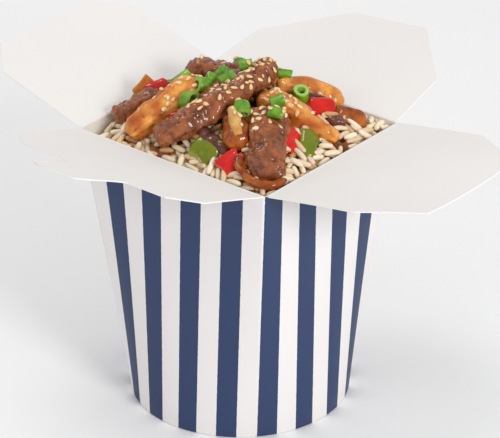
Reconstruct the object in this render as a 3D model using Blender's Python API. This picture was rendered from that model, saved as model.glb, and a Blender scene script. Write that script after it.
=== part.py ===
"""Open takeaway box of printed paperboard, heaped with rice and stir-fry.

The box has a rectangular mouth and a round, recessed base, like a paper cup
that was pulled square at the top. Each side of the mouth carries a flap on a
fold line. All four flaps stand open, tilted a little above level.

Metres, +Z up. The origin is on the surface that the box stands on, under the
middle of the open flaps' spread, a few millimetres from the middle of the box.
X runs along the short sides of the mouth and Y along the long ones.
"""

import math

import bmesh
import bpy
from mathutils import Euler, Vector, noise
from mathutils.bvhtree import BVHTree

MM = 0.001

# The carton.
MOUTH_X = 82.5 * MM
MOUTH_Y = 94.0 * MM
HEIGHT = 116.0 * MM
BASE_RADIUS = 44.4 * MM
BOARD = 0.5 * MM
CORNER_RADIUS = 1.5 * MM
BASE_RECESS = 6.0 * MM
LIP_HEIGHT = 5.0 * MM
GAP = 0.3 * MM
WALL_LEVELS = (12.0 * MM, 38.0 * MM, 64.0 * MM, 90.0 * MM, HEIGHT)
SIDE_STEPS = 8
CORNER_STEPS = 2

# The fold lines and the flaps.
HINGE_OUT = 0.55 * MM
FLAP_START = 0.3 * MM
FLAP_TRIM = 0.8 * MM
FLAP_GRID = 20.0 * MM

# The middle of the open flaps' spread, seen from the middle of the box. The
# flaps differ, and the origin lies on the floor under this point.
SPREAD_MIDDLE = Vector((-2.4 * MM, -4.9 * MM, 0.0))

# The rice.
RICE_AT_RIM = -3.9 * MM
RICE_DOME = 15.0 * MM
RICE_LUMP = 0.9 * MM
RICE_RINGS = (1.0, 0.87, 0.7, 0.5, 0.25)

# Strips of food: their rings from end to end, and the corners of a ring.
LARGE_RINGS = (0.0, 0.05, 0.16, 0.33, 0.5, 0.67, 0.84, 0.95, 1.0)
SMALL_RINGS = (0.0, 0.12, 0.5, 0.88, 1.0)
LARGE_FROM = 7.2
RING_SIDES = 8
CLEARANCE = 0.5 * MM


# --- Scene and materials -------------------------------------------------


def clear_scene():
    for old in list(bpy.data.objects):
        bpy.data.objects.remove(old, do_unlink=True)


def material(name, colour, roughness, metallic=0.0):
    mat = bpy.data.materials.new(name)
    mat.use_nodes = True
    shader = mat.node_tree.nodes["Principled BSDF"]
    shader.inputs["Base Color"].default_value = (*colour, 1.0)
    shader.inputs["Roughness"].default_value = roughness
    shader.inputs["Metallic"].default_value = metallic
    return mat


def make_finishes():
    """One material for each thing the box holds or is made of."""
    return {
        "board_printed": material("board_printed", (0.70, 0.70, 0.72), 0.55),
        "board_white": material("board_white", (0.85, 0.84, 0.81), 0.6),
        "rice": material("rice", (0.78, 0.68, 0.50), 0.5),
        "beef": material("beef", (0.12, 0.04, 0.02), 0.35),
        "chicken": material("chicken", (0.60, 0.27, 0.08), 0.35),
        "onion": material("onion", (0.45, 0.18, 0.04), 0.3),
        "onion_dark": material("onion_dark", (0.06, 0.02, 0.02), 0.3),
        "pepper_red": material("pepper_red", (0.65, 0.02, 0.01), 0.25),
        "pepper_green": material("pepper_green", (0.20, 0.28, 0.02), 0.25),
        "pepper_yellow": material("pepper_yellow", (0.75, 0.30, 0.02), 0.25),
        "spring_onion": material("spring_onion", (0.12, 0.38, 0.04), 0.35),
    }


def add_object(name, bm, finish, smooth_angle=40.0):
    bmesh.ops.recalc_face_normals(bm, faces=bm.faces)
    mesh = bpy.data.meshes.new(name)
    bm.to_mesh(mesh)
    bm.free()
    mesh.materials.append(finish)
    mesh.shade_smooth()
    mesh.set_sharp_from_angle(angle=math.radians(smooth_angle))
    obj = bpy.data.objects.new(name, mesh)
    bpy.context.scene.collection.objects.link(obj)
    return obj


def bridge_rings(bm, rings, closed=False, folded=False):
    """Joins rings of equal size, each to the next, with four-sided faces.

    A folded face is two triangles that meet along its outer diagonal, so that
    walls one inside the other bend in the same places.
    """
    pairs = list(zip(rings, rings[1:]))
    if closed:
        pairs.append((rings[-1], rings[0]))
    for low, high in pairs:
        for i in range(len(low)):
            j = (i + 1) % len(low)
            face = (low[i], low[j], high[j], high[i])
            if not folded:
                bm.faces.new(face)
                continue
            rising = (low[i].co + high[j].co).xy.length
            falling = (low[j].co + high[i].co).xy.length
            turn = 0 if rising > falling else 1
            a, b, c, d = face[turn:] + face[:turn]
            bm.faces.new((a, b, c))
            bm.faces.new((a, c, d))


# --- The carton ----------------------------------------------------------


def wall_columns():
    """Lines that run down the wall, from the mouth to the base.

    Each is an arc centre and an outward direction at the mouth, and its
    bearing on the base. Bearings follow the distance round the mouth, so that
    the board is neither stretched nor gathered on its way down.
    """
    half_x = MOUTH_X / 2 - CORNER_RADIUS
    half_y = MOUTH_Y / 2 - CORNER_RADIUS
    places = []
    for side in range(4):
        face = side * math.pi / 2
        run, reach = (half_y, half_x) if side % 2 == 0 else (half_x, half_y)
        out = Vector((math.cos(face), math.sin(face), 0))
        along = Vector((-math.sin(face), math.cos(face), 0))
        for i in range(SIDE_STEPS):
            step = run * (2 * i / SIDE_STEPS - 1)
            places.append((out * reach + along * step, face))
        for i in range(CORNER_STEPS):
            turn = i / CORNER_STEPS * math.pi / 2
            places.append((out * reach + along * run, face + turn))
    points = [c + CORNER_RADIUS * Vector((math.cos(a), math.sin(a), 0)) for c, a in places]
    steps = [(points[(i + 1) % len(points)] - p).length for i, p in enumerate(points)]
    travelled = -MOUTH_Y / 2 + CORNER_RADIUS
    columns = []
    for (centre, face), step in zip(places, steps):
        columns.append((centre, face, travelled / sum(steps) * 2 * math.pi))
        travelled += step
    return columns


COLUMNS = wall_columns()


def wall_ring(height, inset):
    """The wall's outline at a height, set in from its outer face."""
    radius = max(CORNER_RADIUS - inset, GAP)
    share = height / HEIGHT
    ring = []
    for centre, face, bearing in COLUMNS:
        shift = min(0.0, CORNER_RADIUS - inset - radius)
        top = centre + (radius + shift) * Vector((math.cos(face), math.sin(face), 0))
        low = (BASE_RADIUS - inset) * Vector((math.cos(bearing), math.sin(bearing), 0))
        point = low.lerp(top, share)
        ring.append(Vector((point.x, point.y, height)))
    return ring


def carton_wall(finish):
    """The side of the box, with its lower edge folded in and up."""
    slot = BOARD + 2 * GAP
    profile = (
        *[(z, 0.0) for z in reversed(WALL_LEVELS)],
        (0.0, 0.0),
        (0.0, 2 * BOARD + slot),
        (LIP_HEIGHT, 2 * BOARD + slot),
        (LIP_HEIGHT, BOARD + slot),
        (BOARD, BOARD + slot),
        (BOARD, BOARD),
        *[(z, BOARD) for z in WALL_LEVELS],
    )
    bm = bmesh.new()
    rings = [[bm.verts.new(p) for p in wall_ring(z, inset)] for z, inset in profile]
    bridge_rings(bm, rings, closed=True, folded=True)
    return add_object("carton_wall", bm, finish)


def carton_base(finish):
    """The recessed disc, with a skirt that stands in the wall's fold."""
    outer = BOARD + GAP
    inner = outer + BOARD
    profile = (
        (BASE_RECESS + BOARD, outer),
        (BOARD + GAP, outer),
        (BOARD + GAP, inner),
        (BASE_RECESS, inner),
    )
    bm = bmesh.new()
    rings = [[bm.verts.new(p) for p in wall_ring(z, inset)] for z, inset in profile]
    bridge_rings(bm, rings, folded=True)
    bm.faces.new(rings[0])
    bm.faces.new(rings[-1])
    return add_object("carton_base", bm, finish)


# --- The flaps -----------------------------------------------------------


def chamfered_outline(width, side, cut_in, cut_out):
    """A flap with its two outer corners cut off."""
    return [
        (FLAP_TRIM, FLAP_START),
        (FLAP_TRIM, side),
        (cut_in, side + cut_out),
        (width - cut_in, side + cut_out),
        (width - FLAP_TRIM, side),
        (width - FLAP_TRIM, FLAP_START),
    ]


def lock_outline():
    """The locking flap: a low shoulder and a tongue with a hooked tip."""
    width = MOUTH_Y
    side, shoulder = 35.0 * MM, 46.0 * MM
    root, tip = 29.0 * MM, 65.0 * MM
    crown = Vector((54.0 * MM, 59.0 * MM))
    points = [(FLAP_TRIM, FLAP_START), (FLAP_TRIM, side), (11.0 * MM, shoulder)]
    rise_to = Vector((41.0 * MM, 63.5 * MM))
    for i in range(6):
        t = i / 5
        ease = t * t * (3 - 2 * t)
        points.append((root + (rise_to.x - root) * t, shoulder + (rise_to.y - shoulder) * ease))
    for i in range(5):
        turn = math.radians(100 - 24 * i)
        points.append((crown.x + 9.5 * MM * math.cos(turn), crown.y + 5.5 * MM * math.sin(turn)))
    points.append((tip, 55.5 * MM))
    points.append((56.0 * MM, shoulder + 1.0 * MM))
    points += [(83.0 * MM, shoulder), (width - FLAP_TRIM, side), (width - FLAP_TRIM, FLAP_START)]
    return points


def flap(name, outline, width, out, reach, tilt, droop, belly, twist, finish):
    """A flap about its fold line, which is the object's own X axis.

    It is cut flat, then bent: droop lowers the outer edge, belly lowers the
    middle of that edge further, and twist lifts one end against the other.
    """
    bm = bmesh.new()
    face = bm.faces.new([bm.verts.new((u - width / 2, v, 0.0)) for u, v in outline])
    farthest = max(v for _, v in outline)
    for axis, extent in ((0, width / 2), (1, farthest)):
        normal = Vector((1, 0, 0)) if axis == 0 else Vector((0, 1, 0))
        count = int(extent / FLAP_GRID)
        for i in range(-count, count + 1):
            bmesh.ops.bisect_plane(
                bm,
                geom=bm.verts[:] + bm.edges[:] + bm.faces[:],
                dist=1e-7,
                plane_co=normal * FLAP_GRID * i,
                plane_no=normal,
            )
    flat = bm.faces[:]
    extruded = bmesh.ops.extrude_face_region(bm, geom=flat)
    top = [v for v in extruded["geom"] if isinstance(v, bmesh.types.BMVert)]
    bmesh.ops.translate(bm, verts=top, vec=(0, 0, BOARD))
    for vert in bm.verts:
        u, v = 2 * vert.co.x / width, vert.co.y
        far = (v / farthest) ** 2
        sag = far * (droop + belly * (1 - u * u))
        vert.co.z += v * math.tan(twist * u) - sag - BOARD / 2
    obj = add_object(name, bm, finish, smooth_angle=30.0)
    obj.location = out * (reach + HINGE_OUT) + Vector((0, 0, HEIGHT))
    obj.rotation_euler = Euler((tilt, 0, math.atan2(out.y, out.x) - math.pi / 2))
    return obj


def carton_flaps(finish):
    end = chamfered_outline(MOUTH_X, 42.0 * MM, 15.0 * MM, 15.0 * MM)
    plain = chamfered_outline(MOUTH_Y, 27.0 * MM, 28.0 * MM, 30.0 * MM)
    deep = chamfered_outline(MOUTH_X, 41.0 * MM, 14.0 * MM, 24.0 * MM)
    lock = lock_outline()
    far_x, far_y = MOUTH_X / 2, MOUTH_Y / 2
    rad = math.radians
    flap("flap_lock", lock, MOUTH_Y, Vector((-1, 0, 0)), far_x,
         rad(18.7), 1.0 * MM, 0.0, 0.0, finish)
    flap("flap_plain", plain, MOUTH_Y, Vector((1, 0, 0)), far_x,
         rad(14.0), 2.5 * MM, 1.0 * MM, rad(5.0), finish)
    flap("flap_end_back", end, MOUTH_X, Vector((0, 1, 0)), far_y,
         rad(16.8), 0.5 * MM, 0.5 * MM, 0.0, finish)
    flap("flap_end_front", deep, MOUTH_X, Vector((0, -1, 0)), far_y,
         rad(10.8), 2.0 * MM, 2.5 * MM, 0.0, finish)


# --- The rice ------------------------------------------------------------


def rice_height(x, y):
    """The top of the rice: low at the rim, heaped towards the middle."""
    rim = HEIGHT + RICE_AT_RIM - 0.042 * y + 0.01 * x
    across = 1 - min(1, abs(x) / (39 * MM)) ** 2.4
    along = 1 - min(1, abs(y) / (45 * MM)) ** 2.4
    lump = RICE_LUMP * noise.noise(Vector((x, y, 0)) / (7 * MM))
    return rim + RICE_DOME * across * along + lump


def rice_heap(finish):
    inset = BOARD + GAP + 0.2 * MM
    floor = BASE_RECESS + BOARD + GAP
    bm = bmesh.new()
    levels = (floor, *WALL_LEVELS[:-1])
    rings = [[bm.verts.new(p) for p in wall_ring(z, inset)] for z in levels]
    edge = wall_ring(HEIGHT + RICE_AT_RIM - 3 * MM, inset)
    for share in RICE_RINGS:
        ring = []
        for point in edge:
            x, y = point.x * share, point.y * share
            ring.append(bm.verts.new((x, y, rice_height(x, y))))
        rings.append(ring)
    bridge_rings(bm, rings, folded=True)
    bm.faces.new(rings[0])
    middle = bm.verts.new((0, 0, rice_height(0, 0)))
    last = rings[-1]
    for i, vert in enumerate(last):
        bm.faces.new((vert, last[(i + 1) % len(last)], middle))
    return add_object("rice_heap", bm, finish)


# --- The stir-fry --------------------------------------------------------


def along_path(path, share):
    """A point on the smooth curve through a path's points (Catmull-Rom)."""
    points = [Vector(p) * MM for p in path]
    points.insert(0, 2 * points[0] - points[1])
    points.append(2 * points[-1] - points[-2])
    spans = len(points) - 3
    at = min(share * spans, spans - 1e-6)
    k = int(at)
    t = at - k
    a, b, c, d = points[k:k + 4]
    return 0.5 * (2 * b + (c - a) * t + (2 * a - 5 * b + 4 * c - d) * t ** 2
                  + (3 * b - a - 3 * c + d) * t ** 3)


def strip_mesh(piece, grow=0.0):
    """A cut strip or slice of food, laid along its path above the rim's middle.

    Its cross-section is a rounded oblong that varies a little along the strip,
    and a cupped piece, such as a slice of pepper, curls down at its sides.
    """
    width, thick = piece["size"]
    path, square = piece["path"], piece.get("square", 2.6)
    roll, cup = math.radians(piece.get("roll", 0)), piece.get("cup", 0) * MM
    blunt = piece.get("blunt", 0.5)
    seed = sum(ord(c) for c in piece["name"])
    rim_middle = Vector((0, 0, HEIGHT))
    bm = bmesh.new()
    rings = []
    for share in LARGE_RINGS if thick > LARGE_FROM else SMALL_RINGS:
        here = along_path(path, share)
        ahead = along_path(path, min(1.0, share + 0.02)) - along_path(path, max(0.0, share - 0.02))
        ahead.normalize()
        side = ahead.cross(Vector((0, 0, 1))).normalized()
        up = side.cross(ahead)
        side, up = side * math.cos(roll) + up * math.sin(roll), up * math.cos(roll) - side * math.sin(roll)
        near_end = min(share, 1 - share) / 0.16
        full = blunt + (1 - blunt) * math.sin(math.pi / 2 * min(1.0, near_end))
        wave = 1 + 0.10 * math.sin(7.0 * share + seed)
        swell = 1 + 0.12 * math.sin(9.0 * share + 2.0 * seed)
        half_w = width / 2 * MM * full * wave + grow
        half_t = thick / 2 * MM * full * swell + grow
        if share in (0.0, 1.0):
            here = here + ahead * (grow if share else -grow)
        ring = []
        for i in range(RING_SIDES):
            turn = 2 * math.pi * i / RING_SIDES
            c, s = math.cos(turn), math.sin(turn)
            x = math.copysign(abs(c) ** (2 / square), c)
            z = math.copysign(abs(s) ** (2 / square), s)
            ring.append(here + side * x * half_w + up * (z * half_t - cup * x * x) + rim_middle)
        rings.append([bm.verts.new(p) for p in ring])
    bridge_rings(bm, rings)
    for ring in (rings[0], rings[-1]):
        middle = bm.verts.new(sum((v.co for v in ring), Vector()) / len(ring))
        for i, vert in enumerate(ring):
            bm.faces.new((vert, ring[(i + 1) % len(ring)], middle))
    return bm


def ring_mesh(piece, grow=0.0):
    """A slice of spring onion: a short tube. Its clearance shape is solid."""
    heading, pitch = (math.radians(a) for a in piece["axis"])
    radius, bore, half = (piece["tube"][0] / 2, piece["tube"][1] / 2, piece["tube"][2] / 2)
    axis = Vector((math.cos(pitch) * math.cos(heading), math.cos(pitch) * math.sin(heading),
                   math.sin(pitch)))
    turn = Vector((0, 0, 1)).rotation_difference(axis).to_matrix()
    centre = Vector(piece["at"]) * MM + Vector((0, 0, HEIGHT))
    profile = [(radius * MM + grow, -half * MM - grow), (radius * MM + grow, half * MM + grow)]
    if not grow:
        profile += [(bore * MM, half * MM), (bore * MM, -half * MM)]
    bm = bmesh.new()
    rings = []
    for r, z in profile:
        ring = []
        for i in range(RING_SIDES):
            a = 2 * math.pi * i / RING_SIDES
            ring.append(bm.verts.new(centre + turn @ Vector((r * math.cos(a), r * math.sin(a), z))))
        rings.append(ring)
    bridge_rings(bm, rings, closed=not grow)
    if grow:
        bm.faces.new(rings[0])
        bm.faces.new(rings[-1])
    return bm


# Places are millimetres from the middle of the mouth, and a strip's path is
# its middle line. Sizes are width and thickness in millimetres. What lies on
# top comes first, and each piece gives way to those before it.
TOPPINGS = [
    {"name": "beef_long", "finish": "beef", "size": (12.5, 9.5), "roll": 20, "blunt": 0.78,
     "path": [(-34, 12, 3.5), (-25, 4, 10), (-10, -2, 15.5), (4, -3, 18.0), (16, -2, 19.0)]},
    {"name": "beef_front", "finish": "beef", "size": (15.0, 9.5), "blunt": 0.65,
     "path": [(-6, -19, 12.5), (-14, -26, 9.5), (-22, -32, 5.0), (-29, -36.5, 0.0)]},
    {"name": "chicken_left", "finish": "chicken", "size": (11.5, 8.5), "roll": -15, "blunt": 0.6,
     "path": [(-34.5, 26, 1.5), (-27, 23, 6.5), (-15, 20, 10.5), (-1, 18.5, 13.0)]},
    {"name": "chicken_right", "finish": "chicken", "size": (12.0, 8.5), "roll": 10, "blunt": 0.65,
     "path": [(3, -9, 13.5), (6, -19, 11.0), (7, -30, 7.0), (12, -39, 2)]},
    {"name": "beef_back", "finish": "beef", "size": (10.0, 10.0), "blunt": 0.8,
     "path": [(9, 33, 10.0), (13, 22, 11.0), (15, 13, 11.5)]},
    {"name": "chicken_back", "finish": "chicken", "size": (9.5, 7.0), "roll": -20, "blunt": 0.65,
     "path": [(17, -6, 12.5), (24, -12, 11.5), (30, -17.5, 8.0), (34, -24, 3.0)]},
    {"name": "beef_middle", "finish": "beef", "size": (12.0, 8.0), "blunt": 0.7,
     "path": [(-11, 9.5, 11.5), (-2, 7.5, 13.0), (6, 6, 14.0), (12, 3, 13.5)]},
    {"name": "onion_pale", "finish": "onion", "size": (4.6, 1.7), "roll": -25,
     "path": [(-18, -11, 17.5), (-22, -16, 16.0), (-25, -20.5, 12.0)]},
    {"name": "onion_glazed", "finish": "onion", "size": (10.5, 8.0), "blunt": 0.6,
     "path": [(-15, -10, 12.0), (-20, -15.5, 10.0), (-26, -20.5, 6.5)]},
    {"name": "beef_left", "finish": "beef", "size": (9.0, 6.5), "blunt": 0.7,
     "path": [(-26, 40.5, 0.5), (-18, 38, 3.5), (-9, 33, 6)]},
    {"name": "pepper_red_back", "finish": "pepper_red", "size": (7.5, 2.8), "roll": -45,
     "cup": 1.0, "square": 4.0, "path": [(-10, 38, 5.5), (-6.5, 37, 7.5), (-1, 35, 8)]},
    {"name": "pepper_yellow", "finish": "pepper_yellow", "size": (9.0, 2.8), "roll": -50,
     "cup": 1.0, "square": 4.0, "path": [(-11, 42, 3.0), (-7.5, 41, 6.5), (-4, 40, 8.0)]},
    {"name": "pepper_red_left", "finish": "pepper_red", "size": (6.0, 3.0), "roll": -40,
     "square": 4.0, "path": [(-24, 14.5, 6.0), (-20, 12, 7.5), (-16, 9.5, 8.0)]},
    {"name": "onion_strip_right", "finish": "onion_dark", "size": (4.5, 2.8),
     "path": [(17, -17, 10.0), (22, -21, 10.5), (27, -24, 6.5)]},
    {"name": "pepper_red_right", "finish": "pepper_red", "size": (9.5, 3.2), "roll": -35,
     "cup": 1.0, "square": 4.0, "path": [(15, -22.5, 9.5), (19.5, -26, 8.0), (23, -29.5, 5.5)]},
    {"name": "pepper_red_mid", "finish": "pepper_red", "size": (8.5, 3.4), "roll": 40,
     "square": 4.0, "path": [(-4, -30, 9.0), (-8, -32.5, 6.5), (-11, -35, 3.5)]},
    {"name": "pepper_green_mid", "finish": "pepper_green", "size": (8.0, 3.4), "roll": 25,
     "cup": 0.8, "square": 4.0, "path": [(3.5, -34, 6.0), (-2.5, -37, 4.5), (-8, -39.5, 1.5)]},
    {"name": "onion_charred", "finish": "onion_dark", "size": (6.0, 4.5),
     "path": [(16, -32, 4.5), (22, -35, 4.0)]},
    {"name": "onion_right", "finish": "onion", "size": (9.0, 6.0), "roll": -15,
     "path": [(24, -29, 4.5), (28, -33, 2.5), (31, -38, -0.5)]},
    {"name": "pepper_green_front", "finish": "pepper_green", "size": (10.5, 3.6), "roll": -40,
     "cup": 1.2, "square": 4.0, "path": [(-31, -4, 6.0), (-31.5, -9.5, 5.6), (-31.5, -15, 4.0)]},
    {"name": "onion_dark", "finish": "onion_dark", "size": (5.5, 3.5),
     "path": [(-25, -2, 8.5), (-28, -10, 7.5), (-29, -19, 5.0)]},
    {"name": "pepper_red_front", "finish": "pepper_red", "size": (9.5, 3.4), "roll": -42,
     "square": 4.0, "path": [(-31, -18.5, 4.6), (-32, -22, 3.6), (-32, -26, 2.4)]},
    {"name": "onion_front", "finish": "onion", "size": (6.5, 3.4), "roll": 35,
     "path": [(-27, -24, 5.0), (-33, -29, 2.5), (-35, -36, 0.4), (-32, -42, -0.4), (-25, -43, -0.2)]},
    {"name": "beef_far", "finish": "beef", "size": (11.0, 7.5), "blunt": 0.6,
     "path": [(17, 34, 3.0), (24, 26, 5.5), (32, 16, 3.0)]},
    {"name": "chicken_far", "finish": "chicken", "size": (10.5, 7.5), "blunt": 0.6,
     "path": [(8, 6, 12.5), (18, 8, 10.5), (28, 5, 6.5), (34, 0, 2.5)]},
    {"name": "pepper_red_far", "finish": "pepper_red", "size": (8.5, 3.0), "roll": -35,
     "cup": 1.0, "square": 4.0, "path": [(20, 16, 9.5), (25, 15, 7.0), (30, 11, 4.5)]},
    {"name": "pepper_green_far", "finish": "pepper_green", "size": (8.5, 3.0), "roll": 10,
     "cup": 1.0, "square": 4.0, "path": [(2, 40, 4.8), (8, 41, 3.6), (14, 40, 2.0)]},
]

# Slices of spring onion. The tube is outer width, bore and length, and the
# axis is its heading and how far it points up, in degrees.
SPRING_ONIONS = [
    {"name": "spring_onion_01", "at": (-6, 13.5, 15.5), "axis": (150, 15), "tube": (7.2, 3.8, 5.0)},
    {"name": "spring_onion_02", "at": (-15, 12.5, 13.0), "axis": (-95, 20), "tube": (7.2, 3.8, 5.0)},
    {"name": "spring_onion_03", "at": (-6, 24, 15.0), "axis": (-24, 25), "tube": (4.5, 2.0, 8.5)},
    {"name": "spring_onion_04", "at": (4.5, 11.5, 17.5), "axis": (-10, 30), "tube": (5.0, 2.4, 5.0)},
    {"name": "spring_onion_05", "at": (-2, 12, 17.0), "axis": (140, 30), "tube": (5.0, 2.4, 4.5)},
    {"name": "spring_onion_06", "at": (-1, 4.5, 19.0), "axis": (-30, 25), "tube": (5.0, 2.4, 6.0)},
    {"name": "spring_onion_07", "at": (9, 3.5, 21.5), "axis": (-50, 10), "tube": (4.6, 2.2, 5.0)},
    {"name": "spring_onion_08", "at": (20.5, -6, 16.5), "axis": (-50, -10), "tube": (4.2, 2.0, 6.5)},
    {"name": "spring_onion_09", "at": (16, -18.5, 13.0), "axis": (-140, 75), "tube": (6.3, 3.4, 4.5)},
    {"name": "spring_onion_10", "at": (-0.5, -20, 16.5), "axis": (-40, 20), "tube": (5.0, 2.4, 5.5)},
    {"name": "spring_onion_11", "at": (-9.5, -26.5, 17.0), "axis": (-60, -10), "tube": (4.8, 2.2, 5.5)},
    {"name": "spring_onion_12", "at": (-15, -14.5, 17.0), "axis": (-130, -25), "tube": (6.4, 3.2, 5.5)},
    {"name": "spring_onion_13", "at": (25, 20, 10.5), "axis": (20, 10), "tube": (6.0, 3.0, 5.0)},
    {"name": "spring_onion_14", "at": (14, 7, 16.5), "axis": (80, 25), "tube": (5.4, 2.6, 4.5)},
]


def surface_tree(obj):
    corners = [v.co for v in obj.data.vertices]
    return BVHTree.FromPolygons(corners, [p.vertices for p in obj.data.polygons])


def surfaces_meet(one, two):
    """Whether the faces of two objects cross anywhere."""
    return bool(surface_tree(one).overlap(surface_tree(two)))


def give_way(piece, cutter):
    """Cuts a piece back from the one that lies on it."""
    cut = piece.modifiers.new("under_" + cutter.name, "BOOLEAN")
    cut.operation = "DIFFERENCE"
    cut.solver = "EXACT"
    cut.object = cutter


def stir_fry(finishes, rice):
    """Lays the toppings from the top down, and settles them into the rice."""
    cutters = []
    shapes = [(piece, ring_mesh) for piece in SPRING_ONIONS]
    shapes += [(piece, strip_mesh) for piece in TOPPINGS]
    for piece, shape in shapes:
        finish = finishes[piece.get("finish", "spring_onion")]
        obj = add_object(piece["name"], shape(piece), finish)
        cutter = add_object(piece["name"] + "_room", shape(piece, grow=CLEARANCE), finish)
        cutter.hide_render = True
        cutter.display_type = "WIRE"
        for above in cutters:
            if surfaces_meet(obj, above):
                give_way(obj, above)
        if surfaces_meet(rice, cutter):
            give_way(rice, cutter)
        cutters.append(cutter)


def main():
    clear_scene()
    finishes = make_finishes()
    carton_wall(finishes["board_printed"])
    carton_base(finishes["board_white"])
    carton_flaps(finishes["board_white"])
    rice = rice_heap(finishes["rice"])
    stir_fry(finishes, rice)
    for obj in bpy.data.objects:
        obj.location -= SPREAD_MIDDLE


main()
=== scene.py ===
"""Looks of an open striped takeaway box, heaped with rice and glazed stir-fry.

The carton is modelled as creased paperboard, the rice as loose grains over a
core, and every strip, slice and seed as its own uneven shape.
"""

import math
import random

import bmesh
import bpy
from mathutils import Matrix, Vector, noise
from mathutils.bvhtree import BVHTree


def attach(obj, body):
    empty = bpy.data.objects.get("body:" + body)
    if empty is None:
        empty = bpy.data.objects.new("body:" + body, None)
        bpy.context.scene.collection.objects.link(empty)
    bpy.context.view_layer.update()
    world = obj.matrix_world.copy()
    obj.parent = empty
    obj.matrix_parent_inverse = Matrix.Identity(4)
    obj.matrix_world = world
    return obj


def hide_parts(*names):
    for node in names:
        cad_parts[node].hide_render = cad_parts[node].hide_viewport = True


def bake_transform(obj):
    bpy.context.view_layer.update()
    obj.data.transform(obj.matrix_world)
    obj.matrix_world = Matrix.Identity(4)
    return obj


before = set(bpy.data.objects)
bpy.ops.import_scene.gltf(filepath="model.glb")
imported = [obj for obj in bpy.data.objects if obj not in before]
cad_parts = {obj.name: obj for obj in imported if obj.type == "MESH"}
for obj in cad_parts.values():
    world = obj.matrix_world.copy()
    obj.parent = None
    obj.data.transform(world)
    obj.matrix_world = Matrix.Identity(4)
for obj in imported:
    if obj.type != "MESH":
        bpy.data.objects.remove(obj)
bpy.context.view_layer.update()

MM = 0.001

# The carton, as in the part.
MOUTH_X = 82.5 * MM
MOUTH_Y = 94.0 * MM
HEIGHT = 116.0 * MM
BASE_RADIUS = 44.4 * MM
BOARD = 0.5 * MM
CORNER_RADIUS = 1.5 * MM
BASE_RECESS = 6.0 * MM
LIP_HEIGHT = 5.0 * MM
HINGE_OUT = 0.55 * MM
FLAP_START = 0.3 * MM
FLAP_TRIM = 0.8 * MM
STRIPE_PAIRS = 17

# The rice, as in the part.
RICE_AT_RIM = -3.9 * MM
RICE_DOME = 15.0 * MM
RICE_LUMP = 0.9 * MM
CORE_DROP = 1.9 * MM
GRAIN_LENGTH = 7.0 * MM
GRAIN_WIDTH = 2.35 * MM
GRAIN_TRIES = 30000

RIM = Vector((0, 0, HEIGHT))
# The origin lies under the middle of the flaps' spread, not of the box.
BOX_MIDDLE = Vector((2.4 * MM, 4.9 * MM, 0))


# --- Camera, floor and light ---------------------------------------------


def make_camera():
    """Looks down on the front corner of the mouth from a little over a metre."""
    azimuth, elevation, roll = math.radians(-50.46), math.radians(27.77), math.radians(-0.31)
    distance = 1.2516
    back = Vector((math.sin(azimuth) * math.cos(elevation),
                   -math.cos(azimuth) * math.cos(elevation), math.sin(elevation)))
    right = Vector((math.cos(azimuth), math.sin(azimuth), 0))
    up = back.cross(right)
    target = BOX_MIDDLE + Vector((0, 0, 0.07446)) + right * 0.00423
    tilt_right = right * math.cos(roll) + up * math.sin(roll)
    tilt_up = up * math.cos(roll) - right * math.sin(roll)
    turn = Matrix((tilt_right, tilt_up, back)).transposed()
    data = bpy.data.cameras.new("camera")
    data.sensor_width = 36.0
    data.lens = 226.5
    data.clip_start, data.clip_end = 0.05, 20.0
    camera = bpy.data.objects.new("camera", data)
    bpy.context.scene.collection.objects.link(camera)
    camera.matrix_world = Matrix.Translation(target + back * distance) @ turn.to_4x4()
    bpy.context.scene.camera = camera


def area_light(name, place, target, size, power):
    data = bpy.data.lights.new(name, "AREA")
    data.shape = "RECTANGLE"
    data.size, data.size_y = size
    data.energy = power
    lamp = bpy.data.objects.new(name, data)
    bpy.context.scene.collection.objects.link(lamp)
    lamp.location = place
    lamp.rotation_euler = (Vector(target) - Vector(place)).to_track_quat("-Z", "Y").to_euler()


def make_studio():
    scene = bpy.context.scene
    scene.view_settings.view_transform = "Standard"
    world = bpy.data.worlds.new("studio")
    world.use_nodes = True
    backdrop = world.node_tree.nodes["Background"]
    backdrop.inputs["Color"].default_value = (1, 1, 1, 1)
    backdrop.inputs["Strength"].default_value = 0.62
    scene.world = world
    middle = (0, 0, 0.1)
    area_light("softbox_high", (0.20, 0.45, 0.95), middle, (0.30, 0.30), 1.9)
    area_light("softbox_left", (-0.95, 0.15, 0.50), middle, (0.5, 0.5), 0.8)
    area_light("softbox_front", (-0.30, -1.05, 0.62), middle, (0.35, 0.30), 6.4)

    bm = bmesh.new()
    bmesh.ops.create_grid(bm, x_segments=1, y_segments=1, size=4.0)
    mesh = bpy.data.meshes.new("floor")
    bm.to_mesh(mesh)
    bm.free()
    floor = bpy.data.objects.new("floor", mesh)
    floor.location.z = -0.0002
    scene.collection.objects.link(floor)
    paper, _ = principled("floor_paper", (0.97, 0.97, 0.97), 0.7)
    mesh.materials.append(paper)


# --- Shader groups -------------------------------------------------------


def new_group(name, inputs, outputs):
    """A node group with named sockets, and its two end nodes."""
    group = bpy.data.node_groups.new(name, "ShaderNodeTree")
    kinds = {"color": "NodeSocketColor", "float": "NodeSocketFloat"}
    for label, (kind, value) in inputs.items():
        socket = group.interface.new_socket(label, in_out="INPUT", socket_type=kinds[kind])
        socket.default_value = value
    for label, kind in outputs.items():
        group.interface.new_socket(label, in_out="OUTPUT", socket_type=kinds[kind])
    return group, group.nodes.new("NodeGroupInput"), group.nodes.new("NodeGroupOutput")


def node(tree, kind, links=None, **settings):
    """A node with its settings and plain input values. links feed its inputs."""
    made = tree.nodes.new(kind)
    for key, value in settings.items():
        setattr(made, key, value)
    for key, source in (links or {}).items():
        socket = made.inputs[key]
        if isinstance(source, bpy.types.NodeSocket):
            tree.links.new(source, socket)
        else:
            socket.default_value = source
    return made


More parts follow.
